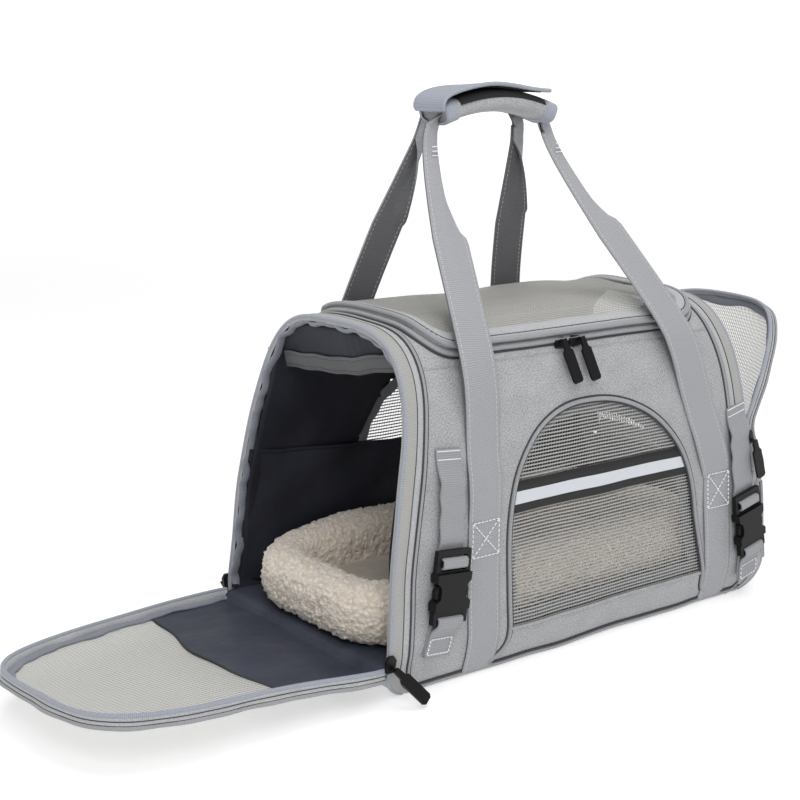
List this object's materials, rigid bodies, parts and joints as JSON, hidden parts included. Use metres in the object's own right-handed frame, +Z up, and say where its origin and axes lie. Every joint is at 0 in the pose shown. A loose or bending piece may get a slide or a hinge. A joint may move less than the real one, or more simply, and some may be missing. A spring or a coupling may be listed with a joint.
{
  "type": "soft-sided pet carrier bag",
  "caption": "Soft-sided pet carrier bag with mesh windows, zipped end doors, a raised top lid, padded grip, strap buckles and a fleece bed.",
  "frame": {"origin": "on the underside of the base, at the middle of the flat floor across the width and near its middle along the length", "axes": "+X towards the rear door, -X out through the open front door, -Y the near side with the open-handed buckles, +Z up from the floor"},
  "size_m": [0.741, 0.2594, 0.4537],
  "materials": {
    "heather": "matte heather polyester weave",
    "mesh": "fine horizontal-line net",
    "tape": "woven zip tape and binding",
    "lining": "smooth dark nylon",
    "webbing": "ribbed webbing with white stitches",
    "fleece": "sherpa fleece",
    "suede": "brushed suede",
    "board": "fabric-covered padded board",
    "plastic": "satin black moulded plastic"
  },
  "bodies": {
    "shell": {"base_panel": "heather", "base_board": "board", "side_panel_near": "heather", "side_panel_far": "heather", "window_mesh_near": "mesh", "window_mesh_far": "mesh", "front_band": "tape", "rear_band": "tape", "top_panel": "heather", "strap_near_front": "webbing", "strap_near_rear": "webbing", "strap_far_front": "webbing", "strap_far_rear": "webbing", "buckle_near_front_socket": "plastic", "buckle_near_front_plug": "plastic", "buckle_near_front_upper_strap": "webbing", "buckle_near_front_lower_strap": "webbing", "buckle_near_rear_socket": "plastic", "buckle_near_rear_plug": "plastic", "buckle_near_rear_upper_strap": "webbing", "buckle_near_rear_lower_strap": "webbing", "buckle_far_front_socket": "plastic", "buckle_far_front_plug": "plastic", "buckle_far_front_upper_strap": "webbing", "buckle_far_front_lower_strap": "webbing", "buckle_far_rear_socket": "plastic", "buckle_far_rear_plug": "plastic", "buckle_far_rear_upper_strap": "webbing", "buckle_far_rear_lower_strap": "webbing", "front_slider_near": "plastic", "front_slider_far": "plastic", "rear_slider_near": "plastic"},
    "front_door": {"front_door_rim": "tape", "front_door_panel": "lining", "front_door_mesh": "mesh"},
    "bed": {"bed_bolster": "fleece", "bed_pad": "suede"},
    "rear_door_lower_half": {"rear_door_lower": "heather"},
    "rear_door_upper_half": {"rear_door_upper": "heather"},
    "top_lid": {"top_lid_rim": "heather", "top_lid_mesh": "mesh"},
    "near_handle": {"handle_near": "webbing", "grip_pad": "heather"},
    "far_handle": {"handle_far": "webbing"},
    "grip_flap_body": {"grip_flap": "heather"},
    "top_slider_front_body": {"top_slider_front": "plastic"},
    "top_slider_rear_body": {"top_slider_rear": "plastic"},
    "top_pull_front_body": {"top_pull_front": "plastic"},
    "top_pull_rear_body": {"top_pull_rear": "plastic"},
    "front_pull_near_body": {"front_pull_near": "plastic"},
    "front_pull_far_body": {"front_pull_far": "plastic"},
    "rear_pull_near_body": {"rear_pull_near": "plastic"},
    "buckle_near_front_arm_front_body": {"buckle_near_front_arm_front": "plastic"},
    "buckle_near_front_arm_rear_body": {"buckle_near_front_arm_rear": "plastic"},
    "buckle_near_rear_arm_front_body": {"buckle_near_rear_arm_front": "plastic"},
    "buckle_near_rear_arm_rear_body": {"buckle_near_rear_arm_rear": "plastic"},
    "buckle_far_front_arm_front_body": {"buckle_far_front_arm_front": "plastic"},
    "buckle_far_front_arm_rear_body": {"buckle_far_front_arm_rear": "plastic"},
    "buckle_far_rear_arm_front_body": {"buckle_far_rear_arm_front": "plastic"},
    "buckle_far_rear_arm_rear_body": {"buckle_far_rear_arm_rear": "plastic"}
  },
  "joints": [
    {"name": "front_door_hinge", "type": "hinge", "parent": "shell", "child": "front_door", "pos_m": [-0.21577, 0, 0.0278], "axis": [0, -1, 0], "range_deg": [-90.15, 0]},
    {"name": "bed_slide", "type": "slide", "parent": "shell", "child": "bed", "axis": [-0.9982, 0, 0.0593], "range_m": [0, 0.42]},
    {"name": "rear_door_hinge", "type": "hinge", "parent": "shell", "child": "rear_door_lower_half", "pos_m": [0.22556, 0, 0.0278], "axis": [0, 1, 0], "range_deg": [0, 84]},
    {"name": "rear_door_fold", "type": "hinge", "parent": "rear_door_lower_half", "child": "rear_door_upper_half", "pos_m": [0.2174, 0, 0.105], "axis": [0, -1, 0], "range_deg": [-12, 36]},
    {"name": "top_lid_hinge", "type": "hinge", "parent": "shell", "child": "top_lid", "pos_m": [0, 0.053, 0.26078], "axis": [-1, 0, 0], "range_deg": [0, 4]},
    {"name": "near_handle_swing", "type": "hinge", "parent": "shell", "child": "near_handle", "pos_m": [0.01346, -0.10839, 0.12628], "axis": [0.9998, 0.0002, -0.0199], "range_deg": [0, 115]},
    {"name": "far_handle_swing", "type": "hinge", "parent": "shell", "child": "far_handle", "pos_m": [0.01346, 0.10257, 0.1267], "axis": [-0.9998, -0.0033, 0.02], "range_deg": [0, 115]},
    {"name": "grip_flap_lift", "type": "hinge", "parent": "near_handle", "child": "grip_flap_body", "pos_m": [-0.036, 0.017, 0.4468], "axis": [-1, 0, 0], "range_deg": [-3, 140]},
    {"name": "top_slider_front_run", "type": "slide", "parent": "shell", "child": "top_slider_front_body", "axis": [-1, 0, 0], "range_m": [0, 0.045]},
    {"name": "top_slider_rear_run", "type": "slide", "parent": "shell", "child": "top_slider_rear_body", "axis": [1, 0, 0], "range_m": [0, 0.075]},
    {"name": "top_pull_front_flip", "type": "hinge", "parent": "top_slider_front_body", "child": "top_pull_front_body", "pos_m": [-0.0349, -0.09886, 0.2587], "axis": [-0.9863, -0.0612, -0.1531], "range_deg": [0, 60]},
    {"name": "top_pull_rear_flip", "type": "hinge", "parent": "top_slider_rear_body", "child": "top_pull_rear_body", "pos_m": [-0.0251, -0.09886, 0.2587], "axis": [-0.9863, -0.0612, -0.1531], "range_deg": [0, 60]},
    {"name": "front_pull_near_flip", "type": "hinge", "parent": "shell", "child": "front_pull_near_body", "pos_m": [-0.21563, -0.1162, 0.03098], "axis": [-0.7828, -0.2393, -0.5744], "range_deg": [0, 85]},
    {"name": "front_pull_far_flip", "type": "hinge", "parent": "shell", "child": "front_pull_far_body", "pos_m": [-0.21563, 0.11619, 0.03097], "axis": [0.7828, -0.2393, 0.5744], "range_deg": [0, 85]},
    {"name": "rear_pull_near_flip", "type": "hinge", "parent": "shell", "child": "rear_pull_near_body", "pos_m": [0.18976, -0.11579, 0.14753], "axis": [-0.9536, 0, -0.3011], "range_deg": [0, 100]},
    {"name": "buckle_near_front_squeeze_front", "type": "hinge", "parent": "shell", "child": "buckle_near_front_arm_front_body", "pos_m": [-0.17302, -0.11397, 0.06759], "axis": [0.0006, 0.9998, -0.0211], "range_deg": [0, 8]},
    {"name": "buckle_near_front_squeeze_rear", "type": "hinge", "parent": "shell", "child": "buckle_near_front_arm_rear_body", "pos_m": [-0.1531, -0.11402, 0.06581], "axis": [-0.0006, -0.9998, 0.0211], "range_deg": [0, 8]},
    {"name": "buckle_near_rear_squeeze_front", "type": "hinge", "parent": "shell", "child": "buckle_near_rear_arm_front_body", "pos_m": [0.18596, -0.11576, 0.05348], "axis": [0.0018, 0.9994, -0.0332], "range_deg": [0, 8]},
    {"name": "buckle_near_rear_squeeze_rear", "type": "hinge", "parent": "shell", "child": "buckle_near_rear_arm_rear_body", "pos_m": [0.2055, -0.11565, 0.05775], "axis": [-0.0018, -0.9994, 0.0332], "range_deg": [0, 8]},
    {"name": "buckle_far_front_squeeze_front", "type": "hinge", "parent": "shell", "child": "buckle_far_front_arm_front_body", "pos_m": [-0.15308, 0.11338, 0.06619], "axis": [-0.0033, -0.9969, -0.0787], "range_deg": [0, 8]},
    {"name": "buckle_far_front_squeeze_rear", "type": "hinge", "parent": "shell", "child": "buckle_far_front_arm_rear_body", "pos_m": [-0.173, 0.1133, 0.06796], "axis": [0.0033, 0.9969, 0.0787], "range_deg": [0, 8]},
    {"name": "buckle_far_rear_squeeze_front", "type": "hinge", "parent": "shell", "child": "buckle_far_rear_arm_front_body", "pos_m": [0.20545, 0.11532, 0.05791], "axis": [0.0096, -0.9981, -0.0614], "range_deg": [0, 8]},
    {"name": "buckle_far_rear_squeeze_rear", "type": "hinge", "parent": "shell", "child": "buckle_far_rear_arm_rear_body", "pos_m": [0.18591, 0.11539, 0.05366], "axis": [-0.0096, 0.9981, 0.0614], "range_deg": [0, 8]}
  ],
  "couplings": [
    {"joint": "buckle_near_front_squeeze_rear", "follows": "buckle_near_front_squeeze_front", "ratio": 1},
    {"joint": "buckle_near_rear_squeeze_rear", "follows": "buckle_near_rear_squeeze_front", "ratio": 1},
    {"joint": "buckle_far_front_squeeze_rear", "follows": "buckle_far_front_squeeze_front", "ratio": 1},
    {"joint": "buckle_far_rear_squeeze_rear", "follows": "buckle_far_rear_squeeze_front", "ratio": 1}
  ]
}
